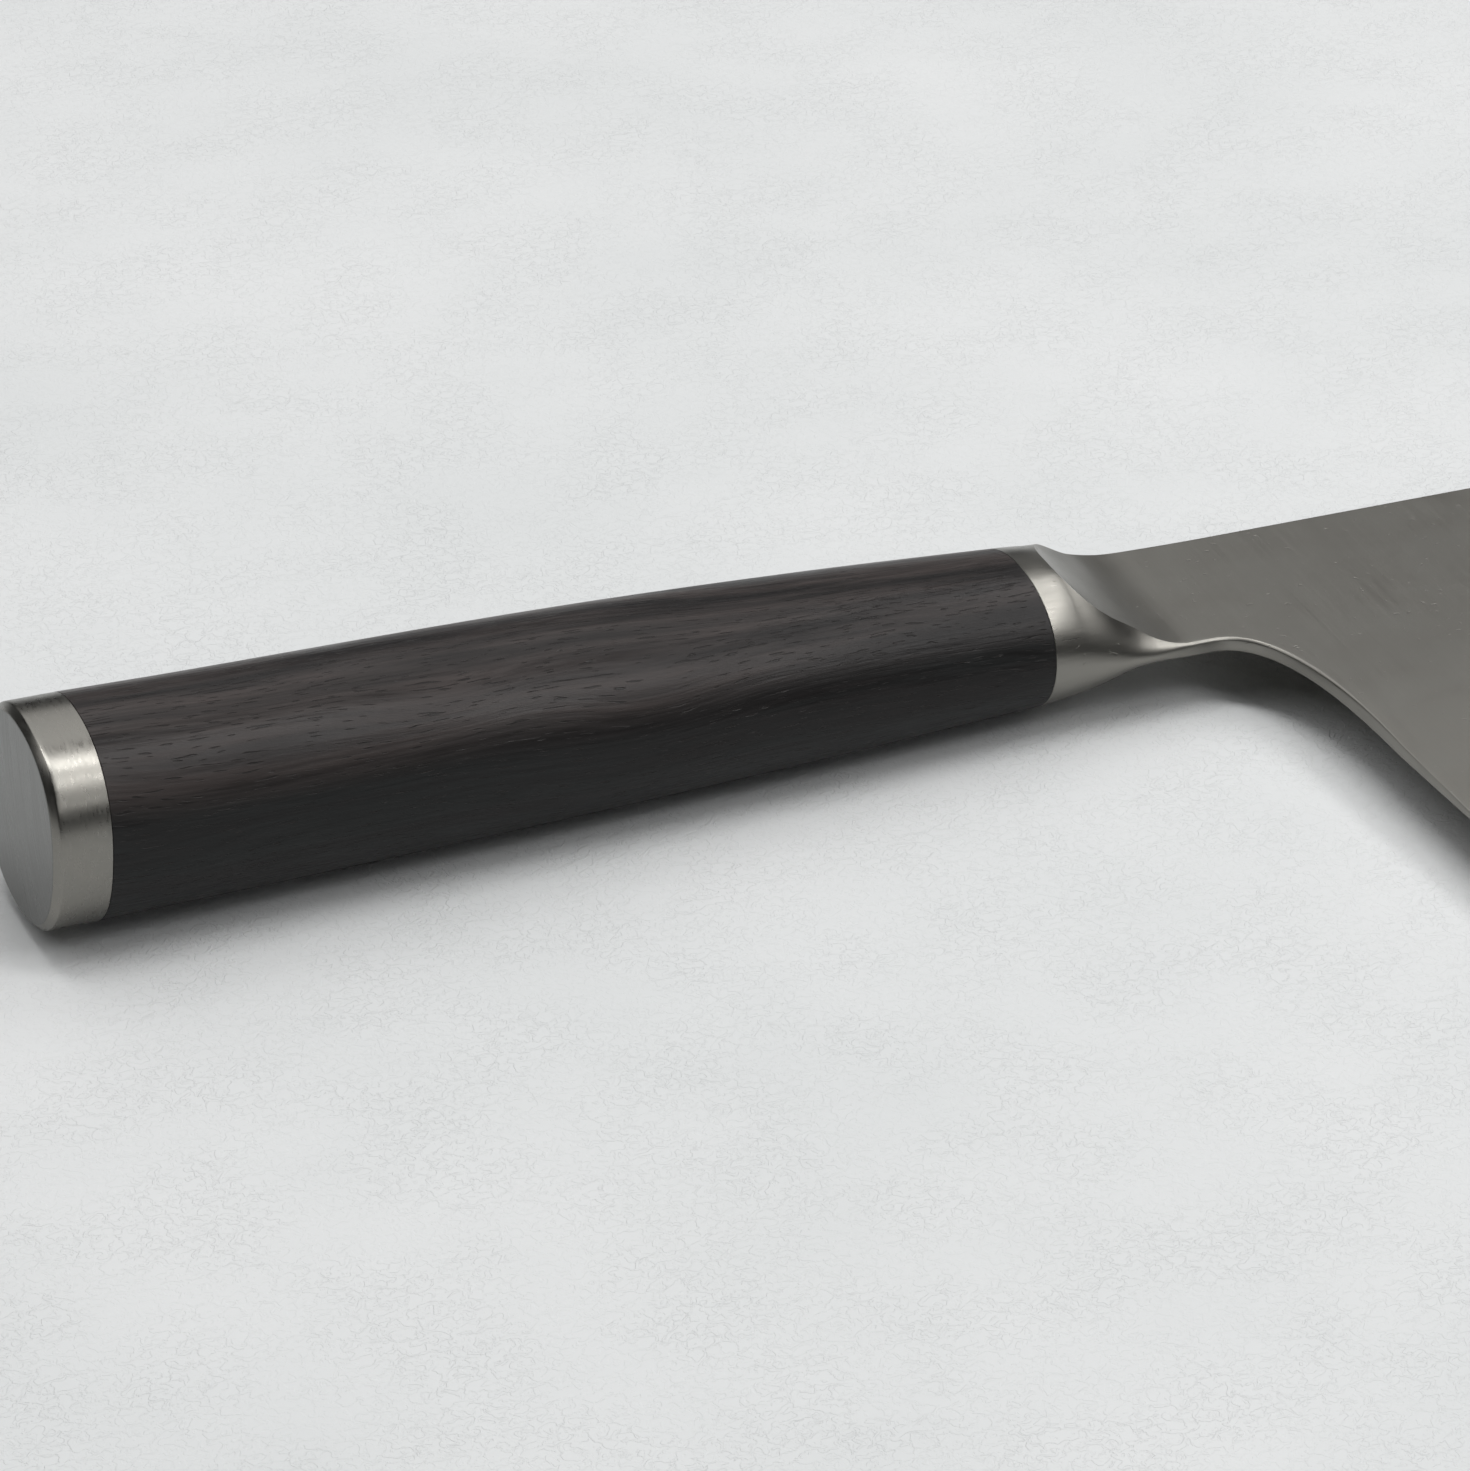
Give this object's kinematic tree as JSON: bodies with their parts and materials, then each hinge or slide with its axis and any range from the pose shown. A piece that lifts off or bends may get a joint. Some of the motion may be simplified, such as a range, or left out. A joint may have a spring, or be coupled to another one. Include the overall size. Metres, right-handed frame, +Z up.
{
  "type": "vegetable cleaver",
  "caption": "Vegetable cleaver with a tall thin blade, an oval dark wood grip between a steel bolster with ground shoulders and a steel end cap.",
  "frame": {"origin": "centre of the knife's footprint, on the table that it lies on", "axes": "+Z up; +X from the end cap along the handle to the blade's far end, tipped down by the slope at which the knife rests; +Y from the cutting edge to the spine"},
  "size_m": [0.3192, 0.0812, 0.0252],
  "materials": {
    "blade_steel": "plain even satin",
    "bolster_steel": "satin, polished finer than the blade",
    "dark_wood": "satin, fine dark grain along the grip",
    "cap_steel": "satin, polished finer than the blade",
    "hidden_steel": "plain, as machined"
  },
  "bodies": {
    "root": {"blade": "blade_steel", "bolster": "bolster_steel", "grip": "dark_wood", "end_cap": "cap_steel", "tang": "hidden_steel", "tang_washer": "hidden_steel", "tang_nut": "hidden_steel"}
  },
  "joints": []
}
